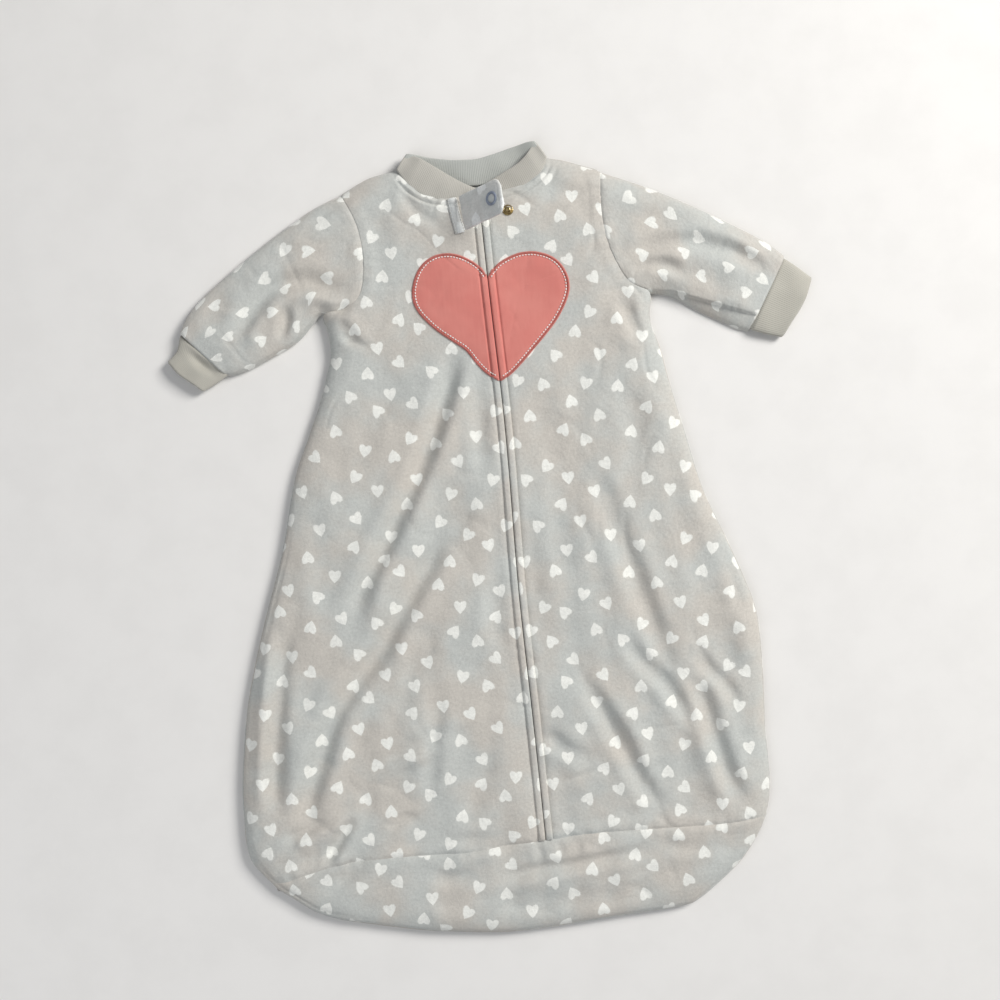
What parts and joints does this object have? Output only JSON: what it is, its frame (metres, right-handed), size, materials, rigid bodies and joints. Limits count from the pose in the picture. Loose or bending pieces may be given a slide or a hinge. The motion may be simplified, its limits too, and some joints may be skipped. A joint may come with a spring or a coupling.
{
  "type": "baby sleeping bag",
  "caption": "Long-sleeved baby sleeping bag lying flat, with a rib collar and cuffs, a hidden front zip under a snap tab, and a sewn-on heart.",
  "frame": {"origin": "on the underside of the back panel, on the zip line, 264 mm above the foot seam", "axes": "+Y along the zip from the foot to the neck, +X to the viewer's right of the front, +Z out of the front"},
  "size_m": [0.5734, 0.687, 0.0545],
  "materials": {
    "fleece_front": "short brushed pile, printed with small hearts",
    "fleece_back": "short brushed pile, printed with small hearts",
    "fleece_sleeve": "short brushed pile, printed with small hearts",
    "fleece_lip": "short brushed pile, folded edge",
    "rib": "one-by-one rib knit",
    "heart_cotton": "plain woven cotton with a satin-stitched edge",
    "tab_cotton": "brushed knit, folded double",
    "zip_tape": "woven tape",
    "zip_coil": "moulded nylon coil",
    "zip_metal": "enamelled",
    "brass": "polished",
    "snap_enamel": "enamelled, satin"
  },
  "bodies": {
    "bag": {"back_panel": "fleece_back", "bottom_stop": "zip_coil", "collar_back": "rib", "foot_panel": "fleece_front", "front_left": "fleece_front", "front_right": "fleece_front", "sleeve_head_left": "fleece_sleeve", "sleeve_head_right": "fleece_sleeve", "zip_chain_foot": "zip_coil", "zip_lip_foot": "fleece_lip", "zip_tape_foot": "zip_tape"},
    "slider": {"zip_slider": "zip_metal"},
    "pull": {"zip_pull": "zip_metal"},
    "lapel_left": {"collar_front_left": "rib", "heart_left": "heart_cotton", "lapel_left": "fleece_front", "tab_base": "rib", "top_stop_left": "zip_coil", "zip_coil_left": "zip_coil", "zip_lip_left": "fleece_lip", "zip_tape_left": "zip_tape"},
    "lapel_right": {"collar_front_right": "rib", "heart_right": "heart_cotton", "lapel_right": "fleece_front", "snap_ring": "brass", "snap_stud": "brass", "top_stop_right": "zip_coil", "zip_coil_right": "zip_coil", "zip_lip_right": "fleece_lip", "zip_tape_right": "zip_tape"},
    "snap_tab": {"snap_cap": "snap_enamel", "snap_socket": "brass", "snap_tab": "tab_cotton"},
    "sleeve_left": {"cuff_left": "rib", "sleeve_left": "fleece_sleeve"},
    "sleeve_right": {"cuff_right": "rib", "sleeve_right": "fleece_sleeve"}
  },
  "joints": [
    {"name": "slider_travel", "type": "slide", "parent": "bag", "child": "slider", "axis": [0, -1, 0], "range_m": [0, 0.5465], "deforming": ["zip_coil_left", "zip_coil_right"]},
    {"name": "pull_swing", "type": "hinge", "parent": "slider", "child": "pull", "pos_m": [0, 0.2922, 0.0154], "axis": [-1, 0, 0], "range_deg": [0, 150]},
    {"name": "lapel_left_fold", "type": "hinge", "parent": "bag", "child": "lapel_left", "pos_m": [-0.033, 0.033, 0.01415], "axis": [0.0972, -0.9953, 0], "range_deg": [0, 130], "deforming": ["heart_left"]},
    {"name": "lapel_right_fold", "type": "hinge", "parent": "bag", "child": "lapel_right", "pos_m": [0.033, 0.033, 0.01415], "axis": [0.0972, 0.9953, 0], "range_deg": [0, 130], "deforming": ["heart_right"]},
    {"name": "snap_tab_fold", "type": "hinge", "parent": "lapel_left", "child": "snap_tab", "pos_m": [-0.018, 0.2835, 0.0181], "axis": [-0.1045, -0.9862, 0.1287], "range_deg": [-43.7, 38]},
    {"name": "sleeve_left_fold", "type": "hinge", "parent": "bag", "child": "sleeve_left", "pos_m": [-0.1465, 0.26771, 0.01415], "axis": [0.2647, 0.9643, 0], "range_deg": [0, 110]},
    {"name": "sleeve_right_fold", "type": "hinge", "parent": "bag", "child": "sleeve_right", "pos_m": [0.13834, 0.26275, 0.01415], "axis": [0.3036, -0.9528, 0], "range_deg": [0, 110]}
  ],
  "couplings": [
    {"joint": "lapel_left_fold", "follows": "slider_travel", "rad_per_m": 4.1497},
    {"joint": "lapel_right_fold", "follows": "slider_travel", "rad_per_m": 4.1497}
  ]
}
